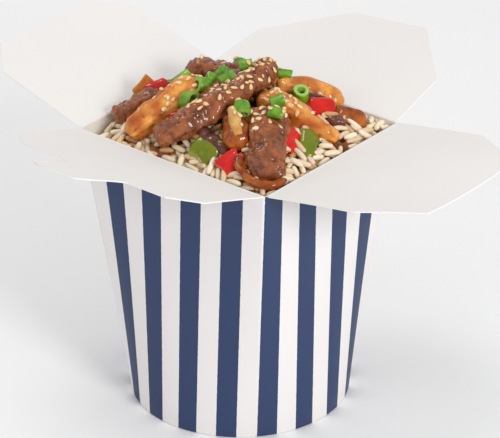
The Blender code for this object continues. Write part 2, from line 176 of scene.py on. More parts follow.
def blend_colour(tree, factor, first, second, mode="MIX"):
    """The colour between two, by a factor. Each may be a socket or a value."""
    mix = tree.nodes.new("ShaderNodeMix")
    mix.data_type = "RGBA"
    mix.blend_type = mode
    for index, source in ((0, factor), (6, first), (7, second)):
        if isinstance(source, bpy.types.NodeSocket):
            tree.links.new(source, mix.inputs[index])
        else:
            mix.inputs[index].default_value = source if index == 0 else (*source[:3], 1.0)
    return mix.outputs[2]


def object_place(tree):
    return tree.nodes.new("ShaderNodeTexCoord").outputs["Object"]


def spread(tree, value, low, high, to_low=0.0, to_high=1.0):
    ranged = node(tree, "ShaderNodeMapRange", {
        "Value": value, "From Min": low, "From Max": high, "To Min": to_low, "To Max": to_high})
    return ranged.outputs["Result"]


def mottle_group():
    """Soft patches between two colours, with finer flecks of the second."""
    group, start, end = new_group(
        "mottle",
        {"Pale": ("color", (1, 1, 1, 1)), "Deep": ("color", (0, 0, 0, 1)),
         "Size": ("float", 150.0), "Amount": ("float", 1.0)},
        {"Color": "color", "Mask": "float"})
    place = object_place(group)
    broad = node(group, "ShaderNodeTexNoise",
                 {"Vector": place, "Scale": start.outputs["Size"], "Detail": 3.0, "Roughness": 0.6})
    fine = node(group, "ShaderNodeTexNoise", {"Vector": place, "Scale": 900.0, "Detail": 2.0})
    mask = spread(group, broad.outputs["Fac"], 0.38, 0.64)
    flecks = spread(group, fine.outputs["Fac"], 0.5, 0.75, 0.0, 0.35)
    both = node(group, "ShaderNodeMath", {0: mask, 1: flecks}, operation="ADD", use_clamp=True)
    scaled = node(group, "ShaderNodeMath",
                  {0: both.outputs[0], 1: start.outputs["Amount"]}, operation="MULTIPLY")
    group.links.new(blend_colour(group, scaled.outputs[0], start.outputs["Pale"],
                                 start.outputs["Deep"]), end.inputs["Color"])
    group.links.new(scaled.outputs[0], end.inputs["Mask"])
    return group


def wet_group():
    """Uneven gloss: a roughness between wet and dry, and a faint height."""
    group, start, end = new_group(
        "wet_film",
        {"Wet": ("float", 0.15), "Dry": ("float", 0.5), "Size": ("float", 260.0)},
        {"Roughness": "float", "Height": "float"})
    place = object_place(group)
    film = node(group, "ShaderNodeTexNoise",
                {"Vector": place, "Scale": start.outputs["Size"], "Detail": 2.0})
    share = spread(group, film.outputs["Fac"], 0.36, 0.66)
    rough = node(group, "ShaderNodeMapRange",
                 {"Value": share, "To Min": start.outputs["Wet"], "To Max": start.outputs["Dry"]})
    group.links.new(rough.outputs["Result"], end.inputs["Roughness"])
    group.links.new(film.outputs["Fac"], end.inputs["Height"])
    return group


def board_group():
    """Pressed paper fibre: a fine height, and a faint change of shade."""
    group, start, end = new_group(
        "board_fibre", {"Shade": ("float", 0.03)}, {"Shade": "float", "Height": "float"})
    place = object_place(group)
    fibre = node(group, "ShaderNodeTexNoise",
                 {"Vector": place, "Scale": 2600.0, "Detail": 3.0, "Roughness": 0.7})
    cloud = node(group, "ShaderNodeTexNoise", {"Vector": place, "Scale": 26.0, "Detail": 3.0})
    low = node(group, "ShaderNodeMath", {0: 1.0, 1: start.outputs["Shade"]}, operation="SUBTRACT")
    shade = node(group, "ShaderNodeMapRange",
                 {"Value": cloud.outputs["Fac"], "From Min": 0.3, "From Max": 0.7,
                  "To Min": low.outputs[0], "To Max": 1.0})
    group.links.new(shade.outputs["Result"], end.inputs["Shade"])
    group.links.new(fibre.outputs["Fac"], end.inputs["Height"])
    return group


# --- Materials -----------------------------------------------------------


def principled(name, colour, roughness, **extra):
    mat = bpy.data.materials.new(name)
    mat.use_nodes = True
    shader = mat.node_tree.nodes["Principled BSDF"]
    shader.inputs["Base Color"].default_value = (*colour, 1.0)
    shader.inputs["Roughness"].default_value = roughness
    for key, value in extra.items():
        shader.inputs[key.replace("_", " ")].default_value = value
    return mat, shader


def place_group(tree, group, **values):
    made = tree.nodes.new("ShaderNodeGroup")
    made.node_tree = group
    for key, value in values.items():
        socket = made.inputs[key]
        if isinstance(value, bpy.types.NodeSocket):
            tree.links.new(value, socket)
        else:
            socket.default_value = (*value, 1.0) if isinstance(value, tuple) else value
    return made


def feed_bump(tree, shader, height, strength, distance):
    bump = node(tree, "ShaderNodeBump",
                {"Height": height, "Strength": strength, "Distance": distance})
    tree.links.new(bump.outputs["Normal"], shader.inputs["Normal"])


def attribute(tree, name):
    return node(tree, "ShaderNodeAttribute", attribute_name=name).outputs["Fac"]


def board_material(name, groups, printed):
    """Matt paperboard, bare, or printed with navy stripes along its U."""
    mat, shader = principled(name, WHITE_BOARD, 0.62, Specular_IOR_Level=0.2)
    tree = mat.node_tree
    fibre = place_group(tree, groups["board"], Shade=0.025)
    colour = WHITE_BOARD
    if printed:
        across = node(tree, "ShaderNodeUVMap", uv_map="Print").outputs["UV"]
        split = node(tree, "ShaderNodeSeparateXYZ", {"Vector": across})
        wander = node(tree, "ShaderNodeTexNoise",
                      {"Vector": object_place(tree), "Scale": 900.0, "Detail": 1.0})
        nudge = spread(tree, wander.outputs["Fac"], 0.3, 0.7, -0.003, 0.003)
        at = node(tree, "ShaderNodeMath", {0: split.outputs["X"], 1: nudge}, operation="ADD")
        phase = node(tree, "ShaderNodeMath", {0: at.outputs[0]}, operation="FRACT")
        navy = node(tree, "ShaderNodeMath", {0: phase.outputs[0], 1: 0.5}, operation="LESS_THAN")
        colour = blend_colour(tree, navy.outputs[0], WHITE_PRINT, NAVY)
        ink = spread(tree, navy.outputs[0], 0.0, 1.0, 0.6, 0.5)
        tree.links.new(ink, shader.inputs["Roughness"])
    shade = fibre.outputs["Shade"]
    grey = node(tree, "ShaderNodeCombineColor", {"Red": shade, "Green": shade, "Blue": shade})
    tinted = blend_colour(tree, 1.0, colour, grey.outputs["Color"], mode="MULTIPLY")
    tree.links.new(tinted, shader.inputs["Base Color"])
    feed_bump(tree, shader, fibre.outputs["Height"], 0.12, 0.00004)
    return mat


def food_material(name, groups, pale, deep, size, wet, dry, bump=0.35, cut=None, amount=1.0,
                  **extra):
    """Moist food: patches of two colours under a film of uneven gloss.

    cut is the colour of cut faces, which the mesh marks with its cut value; hollows in the surface,
    marked by the mesh, are darkened to the deep colour as painted shade.
    """
    mat, shader = principled(name, pale, 0.4, **extra)
    tree = mat.node_tree
    mottle = place_group(tree, groups["mottle"], Pale=pale, Deep=deep, Size=size, Amount=amount)
    # Painted shade: hollows in the relief, as marked by the mesh, are darkened to the deep colour.
    colour = blend_colour(tree, attribute(tree, "hollow_shade"), mottle.outputs["Color"], deep)
    if cut:
        colour = blend_colour(tree, attribute(tree, "cut"), colour, cut)
    tree.links.new(colour, shader.inputs["Base Color"])
    film = place_group(tree, groups["wet"], Wet=wet, Dry=dry)
    tree.links.new(film.outputs["Roughness"], shader.inputs["Roughness"])
    feed_bump(tree, shader, film.outputs["Height"], bump, 0.0006)
    return mat


def rice_material(groups):
    """Steamed grains, stained where they lie near the sauce, and darkened to a near-black mix of sauce
    and painted shade under and between the pieces.
    """
    mat, shader = principled("rice_grain", RICE_PALE, 0.4, Subsurface_Weight=0.15,
                             Subsurface_Scale=0.002)
    tree = mat.node_tree
    shader.inputs["Subsurface Radius"].default_value = (1.0, 0.8, 0.5)
    mottle = place_group(tree, groups["mottle"], Pale=RICE_PALE, Deep=RICE_DEEP, Size=90.0)
    stain_and_shade = attribute(tree, "stain_and_shade")
    light = spread(tree, stain_and_shade, 0.0, 1.0)
    # Painted shade: high values turn the rice near black, for sauce and for the shade under and between
    # the pieces.
    heavy_stain_and_shade = spread(tree, stain_and_shade, 0.9, 1.8)
    stained_and_shaded = blend_colour(tree, light, mottle.outputs["Color"], RICE_STAINED)
    stained_and_shaded = blend_colour(tree, heavy_stain_and_shade, stained_and_shaded, SAUCE_AND_SHADE)
    tree.links.new(stained_and_shaded, shader.inputs["Base Color"])
    film = place_group(tree, groups["wet"], Wet=0.3, Dry=0.55)
    tree.links.new(film.outputs["Roughness"], shader.inputs["Roughness"])
    return mat


WHITE_BOARD = (0.87, 0.845, 0.82)
WHITE_PRINT = (0.86, 0.83, 0.82)
NAVY = (0.037, 0.058, 0.138)
RICE_PALE = (0.95, 0.87, 0.70)
RICE_DEEP = (0.92, 0.76, 0.52)
RICE_STAINED = (0.58, 0.27, 0.07)
# Near black: dark sauce with painted shade, for rice under and between the pieces.
SAUCE_AND_SHADE = (0.075, 0.022, 0.008)


def make_materials():
    groups = {"mottle": mottle_group(), "wet": wet_group(), "board": board_group()}
    glaze = {"Coat_Weight": 0.55, "Coat_Roughness": 0.07, "Specular_IOR_Level": 0.12}
    return {
        "board": board_material("board_white", groups, False),
        "print": board_material("board_printed", groups, True),
        "rice": rice_material(groups),
        "beef": food_material("beef_seared", groups, (0.39, 0.120, 0.042), (0.050, 0.010, 0.006),
                              240.0, 0.08, 0.36, amount=0.5, **glaze),
        "chicken": food_material("chicken_glazed", groups, (0.93, 0.41, 0.085),
                                 (0.44, 0.085, 0.008), 150.0, 0.10, 0.36, amount=0.7,
                                 **glaze),
        "onion": food_material("onion_amber", groups, (0.52, 0.135, 0.012), (0.20, 0.030, 0.003),
                               150.0, 0.12, 0.35, **glaze),
        "sauce": food_material("sauce", groups, (0.34, 0.085, 0.010), (0.13, 0.022, 0.004),
                               110.0, 0.06, 0.16, bump=0.05, **glaze),
        "onion_pale": food_material("onion_translucent", groups, (0.82, 0.54, 0.21),
                                    (0.58, 0.27, 0.06), 150.0, 0.15, 0.4, **glaze),
        "onion_dark": food_material("onion_charred", groups, (0.20, 0.060, 0.030),
                                    (0.035, 0.010, 0.008), 240.0, 0.15, 0.4, **glaze),
        "pepper_red": food_material("pepper_red", groups, (0.80, 0.017, 0.008),
                                    (0.50, 0.005, 0.003), 70.0, 0.14, 0.3, bump=0.1,
                                    cut=(0.85, 0.09, 0.035), **glaze),
        "pepper_green": food_material("pepper_green", groups, (0.22, 0.245, 0.004),
                                      (0.12, 0.16, 0.003), 70.0, 0.14, 0.3, bump=0.1,
                                      cut=(0.34, 0.36, 0.05), **glaze),
        "pepper_yellow": food_material("pepper_yellow", groups, (0.70, 0.27, 0.015),
                                       (0.45, 0.11, 0.006), 90.0, 0.14, 0.3, bump=0.1,
                                       cut=(0.72, 0.36, 0.06), **glaze),
        "spring_onion": food_material("spring_onion", groups, (0.20, 0.42, 0.016),
                                      (0.07, 0.22, 0.005), 160.0, 0.25, 0.45, bump=0.15,
                                      cut=(0.34, 0.55, 0.10)),
        "sesame": food_material("sesame", groups, (0.92, 0.72, 0.42), (0.82, 0.52, 0.22),
                                300.0, 0.35, 0.55, bump=0.1),
    }


# --- Mesh helpers --------------------------------------------------------


def add_piece(name, bm, materials, body="box", smooth=50.0, values=None):
    """Makes a mesh piece, gives it its finish and lets it ride on a body."""
    mesh = bpy.data.meshes.new(name)
    bm.to_mesh(mesh)
    bm.free()
    for mat in materials:
        mesh.materials.append(mat)
    for label, numbers in (values or {}).items():
        layer = mesh.attributes.new(label, "FLOAT", "POINT")
        layer.data.foreach_set("value", numbers)
    mesh.shade_smooth()
    mesh.set_sharp_from_angle(angle=math.radians(smooth))
    obj = bpy.data.objects.new(name, mesh)
    obj.location = BOX_MIDDLE
    bpy.context.scene.collection.objects.link(obj)
    if body:
        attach(obj, body)
    return obj


def bridge_rings(bm, rings, closed=False):
    pairs = list(zip(rings, rings[1:]))
    if closed:
        pairs.append((rings[-1], rings[0]))
    made = []
    for low, high in pairs:
        for i in range(len(low)):
            j = (i + 1) % len(low)
            made.append(bm.faces.new((low[i], low[j], high[j], high[i])))
    return made


# --- The carton ----------------------------------------------------------

SIDE_STEPS = 28
CORNER_STEPS = 6
WALL_BANDS = 14


def wall_columns():
    """Lines down the wall: arc centre, direction, bearing and distance round."""
    half_x = MOUTH_X / 2 - CORNER_RADIUS
    half_y = MOUTH_Y / 2 - CORNER_RADIUS
    places = []
    for side in range(4):
        face = side * math.pi / 2
        run, reach = (half_y, half_x) if side % 2 == 0 else (half_x, half_y)
        out = Vector((math.cos(face), math.sin(face), 0))
        along = Vector((-math.sin(face), math.cos(face), 0))
        for i in range(SIDE_STEPS):
            places.append((out * reach + along * run * (2 * i / SIDE_STEPS - 1), face))
        for i in range(CORNER_STEPS):
            turn = i / CORNER_STEPS * math.pi / 2
            places.append((out * reach + along * run, face + turn))
    points = [c + CORNER_RADIUS * Vector((math.cos(a), math.sin(a), 0)) for c, a in places]
    steps = [(points[(i + 1) % len(points)] - p).length for i, p in enumerate(points)]
    travelled = -half_y
    columns = []
    for (centre, face), step in zip(places, steps):
        columns.append((centre, face, travelled / sum(steps) * 2 * math.pi, travelled))
        travelled += step
    return columns, sum(steps)


COLUMNS, ROUND_MOUTH = wall_columns()
CORNER_TO_CORNER = MOUTH_X - 2 * CORNER_RADIUS + CORNER_RADIUS * math.pi / 2
FRONT_CORNER = -(MOUTH_Y / 2 - CORNER_RADIUS) - CORNER_RADIUS * math.pi / 4 - CORNER_TO_CORNER
PITCH = ROUND_MOUTH / STRIPE_PAIRS


def wall_ring(height, inset):
    radius = max(CORNER_RADIUS - inset, 0.3 * MM)
    share = height / HEIGHT
    ring = []
    for centre, face, bearing, _ in COLUMNS:
        shift = min(0.0, CORNER_RADIUS - inset - radius)
        top = centre + (radius + shift) * Vector((math.cos(face), math.sin(face), 0))
        low = (BASE_RADIUS - inset) * Vector((math.cos(bearing), math.sin(bearing), 0))
        point = low.lerp(top, share)
        ring.append(Vector((point.x, point.y, height)))
    return ring


def carton_wall(mats):
    """The wall, its folded foot and the rim that the flaps fold from."""
    slot = BOARD + 0.6 * MM
    rim = HEIGHT - 0.15 * MM
    levels = [i / WALL_BANDS * rim for i in range(WALL_BANDS + 1)]
    foot = 0.35 * MM
    profile = [(rim, 0.0), *[(z, 0.0) for z in reversed(levels[1:-1])]]
    profile += [(foot, 0.0), (0.1 * MM, 0.12 * MM), (0.0, foot)]
    profile += [(0.0, 2 * BOARD + slot - foot), (foot, 2 * BOARD + slot)]
    profile += [(LIP_HEIGHT, 2 * BOARD + slot), (LIP_HEIGHT, BOARD + slot)]
    profile += [(BOARD, BOARD + slot), (BOARD, BOARD)]
    profile += [(z, BOARD) for z in levels[1:]]
    bm = bmesh.new()
    rings = [[bm.verts.new(p) for p in wall_ring(z, inset)] for z, inset in profile]
    printed_rings = len(levels) + 3
    layer = bm.loops.layers.uv.new("Print")
    count = len(COLUMNS)
    for k, (low, high) in enumerate(zip(rings, rings[1:] + rings[:1])):
        for i in range(count):
            j = (i + 1) % count
            face = bm.faces.new((low[i], low[j], high[j], high[i]))
            face.material_index = 1 if k < printed_rings else 0
            here = (COLUMNS[i][3] - FRONT_CORNER) / PITCH
            there = here + ((COLUMNS[j][3] - COLUMNS[i][3]) % ROUND_MOUTH) / PITCH
            for loop, across in zip(face.loops, (here, there, there, here)):
                loop[layer].uv = (across, loop.vert.co.z / PITCH)
    bmesh.ops.recalc_face_normals(bm, faces=bm.faces)
    wall = add_piece("wall_striped", bm, [mats["board"], mats["print"]], smooth=35)
    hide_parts("carton_wall")
    seam(mats)


def seam(mats):
    """The raw edge of the glued overlap, down the middle of the front panel."""
    column = 3 * (SIDE_STEPS + CORNER_STEPS) + SIDE_STEPS // 2
    bm = bmesh.new()
    rings = []
    for i in range(25):
        height = 0.4 * MM + (HEIGHT - 1.2 * MM) * i / 24
        ring = wall_ring(height, 0.0)
        here, ahead = ring[column], ring[column + 1]
        along = (ahead - here).normalized()
        out = Vector((along.y, -along.x, 0))
        profile = ((-0.15, -0.05), (-0.10, 0.10), (0.22, 0.11), (0.5, -0.05))
        rings.append([bm.verts.new(here + along * a * MM + out * b * MM) for a, b in profile])
    bridge_rings(bm, rings)
    bm.faces.new(rings[0])
    bm.faces.new(rings[-1])
    bmesh.ops.recalc_face_normals(bm, faces=bm.faces)
    add_piece("seam_edge", bm, [mats["board"]])


def carton_base(mats):
    """The recessed disc, dished a little, with its skirt in the wall's fold."""
    outer = BOARD + 0.3 * MM
    inner = outer + BOARD
    bm = bmesh.new()
    rings = []
    for height, inset in ((BASE_RECESS + BOARD, outer), (0.8 * MM, outer), (0.8 * MM, inner),
                          (BASE_RECESS - 0.4 * MM, inner), (BASE_RECESS, inner + 0.4 * MM)):
        rings.append([bm.verts.new(p) for p in wall_ring(height, inset)])
    bridge_rings(bm, rings)
    bm.faces.new(rings[0])
    last = rings[-1]
    for share in (0.9, 0.6, 0.3):
        ring = []
        for vert in rings[4]:
            lift = 0.4 * MM * (1 - share)
            ring.append(bm.verts.new((vert.co.x * share, vert.co.y * share, BASE_RECESS + lift * 0.6)))
        bridge_rings(bm, [last, ring])
        last = ring
    bm.faces.new(last)
    bmesh.ops.recalc_face_normals(bm, faces=bm.faces)
    base = add_piece("base_disc", bm, [mats["board"]])
    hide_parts("carton_base")


# --- The flaps -----------------------------------------------------------


def chamfered_outline(width, side, cut_in, cut_out):
    return [
        (FLAP_TRIM, FLAP_START),
        (FLAP_TRIM, side),
        (cut_in, side + cut_out),
        (width - cut_in, side + cut_out),
        (width - FLAP_TRIM, side),
        (width - FLAP_TRIM, FLAP_START),
    ]


def lock_outline():
    width = MOUTH_Y
    side, shoulder = 35.0 * MM, 46.0 * MM
    root, tip = 29.0 * MM, 65.0 * MM
    crown = Vector((54.0 * MM, 59.0 * MM))
    points = [(FLAP_TRIM, FLAP_START), (FLAP_TRIM, side), (11.0 * MM, shoulder)]
    rise_to = Vector((41.0 * MM, 63.5 * MM))
    for i in range(13):
        t = i / 12
        ease = t * t * (3 - 2 * t)
        points.append((root + (rise_to.x - root) * t, shoulder + (rise_to.y - shoulder) * ease))
    for i in range(9):
        turn = math.radians(100 - 12 * i)
        points.append((crown.x + 9.5 * MM * math.cos(turn), crown.y + 5.5 * MM * math.sin(turn)))
    points.append((tip, 55.5 * MM))
    points.append((56.0 * MM, shoulder + 1.0 * MM))
    points += [(83.0 * MM, shoulder), (width - FLAP_TRIM, side), (width - FLAP_TRIM, FLAP_START)]
    return points


def bend_flap(u, v, width, farthest, droop, belly, twist):
    """How high a flap's board lies at u across and v out, before it is tilted."""
    share = 2 * u / width
    far = (v / farthest) ** 2
    return v * math.tan(twist * share) - far * (droop + belly * (1 - share * share))


def flap(name, node_name, body, outline, width, out, reach, tilt, bend, corner, mats):
    """A creased flap of board: white inside, printed outside."""
    bm = bmesh.new()
    bm.faces.new([bm.verts.new((u - width / 2, v, 0.0)) for u, v in outline])
    farthest = max(v for _, v in outline)
    grid = 3.5 * MM
    for normal, extent in ((Vector((1, 0, 0)), width / 2), (Vector((0, 1, 0)), farthest)):
        count = int(extent / grid)
        for i in range(-count, count + 1):
            bmesh.ops.bisect_plane(bm, geom=bm.verts[:] + bm.edges[:] + bm.faces[:], dist=1e-7,
                                   plane_co=normal * grid * i, plane_no=normal)
    extruded = bmesh.ops.extrude_face_region(bm, geom=bm.faces[:])
    top = [v for v in extruded["geom"] if isinstance(v, bmesh.types.BMVert)]
    bmesh.ops.translate(bm, verts=top, vec=(0, 0, BOARD))
    bmesh.ops.recalc_face_normals(bm, faces=bm.faces)
    layer = bm.loops.layers.uv.new("Print")
    for face in bm.faces:
        face.material_index = 1 if face.normal.z < -0.5 else 0
        for loop in face.loops:
            across = (corner - (loop.vert.co.x + width / 2)) / PITCH
            loop[layer].uv = (across, loop.vert.co.y / PITCH)
    for vert in bm.verts:
        lift = bend_flap(vert.co.x, vert.co.y, width, farthest, *bend)
        vert.co.z += lift - BOARD / 2
    heading = math.atan2(out.y, out.x) - math.pi / 2
    hinge = out * (reach + HINGE_OUT) + RIM
    pose = Matrix.Translation(hinge) @ Matrix.Rotation(heading, 4, "Z") @ Matrix.Rotation(tilt, 4, "X")
    bmesh.ops.transform(bm, matrix=pose, verts=bm.verts)
    piece = add_piece(name, bm, [mats["board"], mats["print"]], body=body, smooth=35)
    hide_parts(node_name)
    fold_line(name + "_fold", width, out, reach, tilt, corner, mats)


def fold_line(name, width, out, reach, tilt, corner, mats):
    """The creased board that turns from the wall's rim into a flap."""
    along = Vector((out.y, -out.x, 0))
    root = Vector((-BOARD / 2, -0.6 * MM))
    turn = Vector((-BOARD / 2 + 0.1 * MM, 0.35 * MM))
    outer = Vector((HINGE_OUT, 0.0)) + Vector((math.cos(tilt), math.sin(tilt))) * 0.6 * MM
    steps = 7
    spine = []
    for i in range(steps + 1):
        t = i / steps
        point = root * (1 - t) ** 2 + turn * 2 * t * (1 - t) + outer * t * t
        slope = (turn - root) * 2 * (1 - t) + (outer - turn) * 2 * t
        side = Vector((-slope.y, slope.x)).normalized()
        spine.append((point, side))
    loop = [p + s * BOARD * 0.49 for p, s in spine] + [p - s * BOARD * 0.49 for p, s in reversed(spine)]
    half = width / 2 - CORNER_RADIUS * 0.8
    bm = bmesh.new()
    rings = []
    for i in range(29):
        u = half * (2 * i / 28 - 1)
        base = out * reach + RIM + along * u
        rings.append([bm.verts.new(base + out * p.x + Vector((0, 0, p.y))) for p in loop])
    layer = bm.loops.layers.uv.new("Print")
    faces = bridge_rings(bm, rings)
    bm.faces.new(rings[0])
    bm.faces.new(rings[-1])
    bmesh.ops.recalc_face_normals(bm, faces=bm.faces)
    count = len(loop)
    for k, face in enumerate(faces):
        outside = k % count > steps and k % count < count - 1
        face.material_index = 1 if outside else 0
        for corner_loop in face.loops:
            u = (corner_loop.vert.co - RIM).dot(along)
            corner_loop[layer].uv = ((corner - (u + width / 2)) / PITCH, 0.0)
    piece = add_piece(name, bm, [mats["board"], mats["print"]], body=None, smooth=60)
    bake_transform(piece)


def carton_flaps(mats):
    end = chamfered_outline(MOUTH_X, 42.0 * MM, 15.0 * MM, 15.0 * MM)
    plain = chamfered_outline(MOUTH_Y, 27.0 * MM, 28.0 * MM, 30.0 * MM)
    deep = chamfered_outline(MOUTH_X, 41.0 * MM, 14.0 * MM, 24.0 * MM)
    far_x, far_y = MOUTH_X / 2, MOUTH_Y / 2
    rad = math.radians
    flap("lock_flap_board", "flap_lock", "lock_flap", lock_outline(), MOUTH_Y,
         Vector((-1, 0, 0)), far_x, rad(18.7), (1.0 * MM, 0.0, 0.0), 0.0, mats)
    flap("plain_flap_board", "flap_plain", "plain_flap", plain, MOUTH_Y,
         Vector((1, 0, 0)), far_x, rad(14.0), (2.5 * MM, 1.0 * MM, rad(5.0)),
         MOUTH_X + MOUTH_Y, mats)
    flap("back_flap_board", "flap_end_back", "back_flap", end, MOUTH_X,
         Vector((0, 1, 0)), far_y, rad(16.8), (0.5 * MM, 0.5 * MM, 0.0), -MOUTH_Y, mats)
    flap("front_flap_board", "flap_end_front", "front_flap", deep, MOUTH_X,
         Vector((0, -1, 0)), far_y, rad(10.8), (2.0 * MM, 2.5 * MM, 0.0), MOUTH_X, mats)


# --- The stir-fry --------------------------------------------------------

# Places are millimetres from the middle of the mouth; sizes are width and thickness.
TOPPINGS = [
    {"name": "beef_long", "finish": "beef", "size": (12.5, 9.5), "roll": 20, "blunt": 0.78,
     "path": [(-34, 12, 3.5), (-25, 4, 10), (-10, -2, 15.5), (4, -3, 18.0), (16, -2, 19.0)]},
    {"name": "beef_front", "finish": "beef", "size": (15.0, 9.5), "blunt": 0.65,
     "path": [(-6, -19, 12.5), (-14, -26, 9.5), (-22, -32, 5.0), (-29, -36.5, 0.0)]},
    {"name": "chicken_left", "finish": "chicken", "size": (11.5, 8.5), "roll": -15, "blunt": 0.6,
     "path": [(-34.5, 26, 1.5), (-27, 23, 6.5), (-15, 20, 10.5), (-1, 18.5, 13.0)]},
    {"name": "chicken_right", "finish": "chicken", "size": (12.0, 8.5), "roll": 10, "blunt": 0.65,
     "path": [(3, -9, 13.5), (6, -19, 11.0), (7, -30, 7.0), (12, -39, 2)]},
    {"name": "beef_back", "finish": "beef", "size": (10.0, 10.0), "blunt": 0.8,
     "path": [(9, 33, 10.0), (13, 22, 11.0), (15, 13, 11.5)]},
    {"name": "chicken_back", "finish": "chicken", "size": (9.5, 7.0), "roll": -20, "blunt": 0.65,
     "path": [(17, -6, 12.5), (24, -12, 11.5), (30, -17.5, 8.0), (34, -24, 3.0)]},
    {"name": "beef_middle", "finish": "beef", "size": (12.0, 8.0), "blunt": 0.7,
     "path": [(-11, 9.5, 11.5), (-2, 7.5, 13.0), (6, 6, 14.0), (12, 3, 13.5)]},
    {"name": "onion_pale", "finish": "onion_pale", "size": (4.6, 1.7), "roll": -25,
     "blunt": 0.85, "square": 3.2, "cup": 0.8,
     "path": [(-18, -11, 17.5), (-22, -16, 16.0), (-25, -20.5, 12.0)]},
    {"name": "onion_glazed", "finish": "onion", "size": (10.5, 8.0), "blunt": 0.6,
     "path": [(-15, -10, 12.0), (-20, -15.5, 10.0), (-26, -20.5, 6.5)]},
    {"name": "beef_left", "finish": "beef", "size": (9.0, 6.5), "blunt": 0.7,
     "path": [(-26, 40.5, 0.5), (-18, 38, 3.5), (-9, 33, 6)]},
    {"name": "pepper_red_back", "finish": "pepper_red", "size": (7.5, 2.8), "roll": -45,
     "cup": 1.0, "square": 4.0, "path": [(-10, 38, 5.5), (-6.5, 37, 7.5), (-1, 35, 8)]},
    {"name": "pepper_yellow", "finish": "pepper_yellow", "size": (9.0, 2.8), "roll": -50,
     "cup": 1.0, "square": 4.0, "path": [(-11, 42, 3.0), (-7.5, 41, 6.5), (-4, 40, 8.0)]},
    {"name": "pepper_red_left", "finish": "pepper_red", "size": (6.0, 3.0), "roll": -40,
     "square": 4.0, "path": [(-24, 14.5, 6.0), (-20, 12, 7.5), (-16, 9.5, 8.0)]},
    {"name": "onion_strip_right", "finish": "onion_dark", "size": (4.5, 2.8),
     "path": [(17, -17, 10.0), (22, -21, 10.5), (27, -24, 6.5)]},
    {"name": "pepper_red_right", "finish": "pepper_red", "size": (9.5, 3.2), "roll": -35,
     "cup": 1.0, "square": 4.0, "path": [(15, -22.5, 9.5), (19.5, -26, 8.0), (23, -29.5, 5.5)]},
    {"name": "pepper_red_mid", "finish": "pepper_red", "size": (8.5, 3.4), "roll": 40,
     "square": 4.0, "path": [(-4, -30, 9.0), (-8, -32.5, 6.5), (-11, -35, 3.5)]},
    {"name": "pepper_green_mid", "finish": "pepper_green", "size": (8.0, 3.4), "roll": 25,
     "cup": 0.8, "square": 4.0, "path": [(3.5, -34, 6.0), (-2.5, -37, 4.5), (-8, -39.5, 1.5)]},
    {"name": "onion_charred", "finish": "onion_dark", "size": (6.0, 4.5),
     "path": [(16, -32, 4.5), (22, -35, 4.0)]},
    {"name": "onion_right", "finish": "onion", "size": (9.0, 6.0), "roll": -15,
     "path": [(24, -29, 4.5), (28, -33, 2.5), (31, -38, -0.5)]},
    {"name": "pepper_green_front", "finish": "pepper_green", "size": (10.5, 3.6), "roll": -40,
     "cup": 1.2, "square": 4.0, "path": [(-31, -4, 6.0), (-31.5, -9.5, 5.6), (-31.5, -15, 4.0)]},
    {"name": "onion_dark", "finish": "onion_dark", "size": (5.5, 3.5),
     "path": [(-25, -2, 8.5), (-28, -10, 7.5), (-29, -19, 5.0)]},
    {"name": "pepper_red_front", "finish": "pepper_red", "size": (9.5, 3.4), "roll": -42,
     "square": 4.0, "path": [(-31, -18.5, 4.6), (-32, -22, 3.6), (-32, -26, 2.4)]},
    {"name": "onion_front", "finish": "onion", "size": (6.5, 3.4), "roll": 35,
     "path": [(-27, -24, 5.0), (-33, -29, 2.5), (-35, -36, 0.4), (-32, -42, -0.4), (-25, -43, -0.2)]},
    {"name": "beef_far", "finish": "beef", "size": (11.0, 7.5), "blunt": 0.6,
     "path": [(17, 34, 3.0), (24, 26, 5.5), (32, 16, 3.0)]},
    {"name": "chicken_far", "finish": "chicken", "size": (10.5, 7.5), "blunt": 0.6,
     "path": [(8, 6, 12.5), (18, 8, 10.5), (28, 5, 6.5), (34, 0, 2.5)]},
    {"name": "pepper_red_far", "finish": "pepper_red", "size": (8.5, 3.0), "roll": -35,
     "cup": 1.0, "square": 4.0, "path": [(20, 16, 9.5), (25, 15, 7.0), (30, 11, 4.5)]},
    {"name": "pepper_green_far", "finish": "pepper_green", "size": (8.5, 3.0), "roll": 10,
     "cup": 1.0, "square": 4.0, "path": [(2, 40, 4.8), (8, 41, 3.6), (14, 40, 2.0)]},
]

SPRING_ONIONS = [
    {"name": "spring_onion_01", "at": (-6, 13.5, 15.5), "axis": (150, 15), "tube": (7.2, 3.8, 5.0)},
    {"name": "spring_onion_02", "at": (-15, 12.5, 13.0), "axis": (-95, 20), "tube": (7.2, 3.8, 5.0)},
    {"name": "spring_onion_03", "at": (-6, 24, 15.0), "axis": (-24, 25), "tube": (4.5, 2.0, 8.5)},
    {"name": "spring_onion_04", "at": (4.5, 11.5, 17.5), "axis": (-10, 30), "tube": (5.0, 2.4, 5.0)},
    {"name": "spring_onion_05", "at": (-2, 12, 17.0), "axis": (140, 30), "tube": (5.0, 2.4, 4.5)},
    {"name": "spring_onion_06", "at": (-1, 4.5, 19.0), "axis": (-30, 25), "tube": (5.0, 2.4, 6.0)},
    {"name": "spring_onion_07", "at": (9, 3.5, 21.5), "axis": (-50, 10), "tube": (4.6, 2.2, 5.0)},
    {"name": "spring_onion_08", "at": (20.5, -6, 16.5), "axis": (-50, -10), "tube": (4.2, 2.0, 6.5)},
    {"name": "spring_onion_09", "at": (16, -18.5, 13.0), "axis": (-140, 75), "tube": (6.3, 3.4, 4.5)},
    {"name": "spring_onion_10", "at": (-0.5, -20, 16.5), "axis": (-40, 20), "tube": (5.0, 2.4, 5.5)},
    {"name": "spring_onion_11", "at": (-9.5, -26.5, 17.0), "axis": (-60, -10), "tube": (4.8, 2.2, 5.5)},
    {"name": "spring_onion_12", "at": (-15, -14.5, 17.0), "axis": (-130, -25), "tube": (6.4, 3.2, 5.5)},
    {"name": "spring_onion_13", "at": (25, 20, 10.5), "axis": (20, 10), "tube": (6.0, 3.0, 5.0)},
    {"name": "spring_onion_14", "at": (14, 7, 16.5), "axis": (80, 25), "tube": (5.4, 2.6, 4.5)},
]


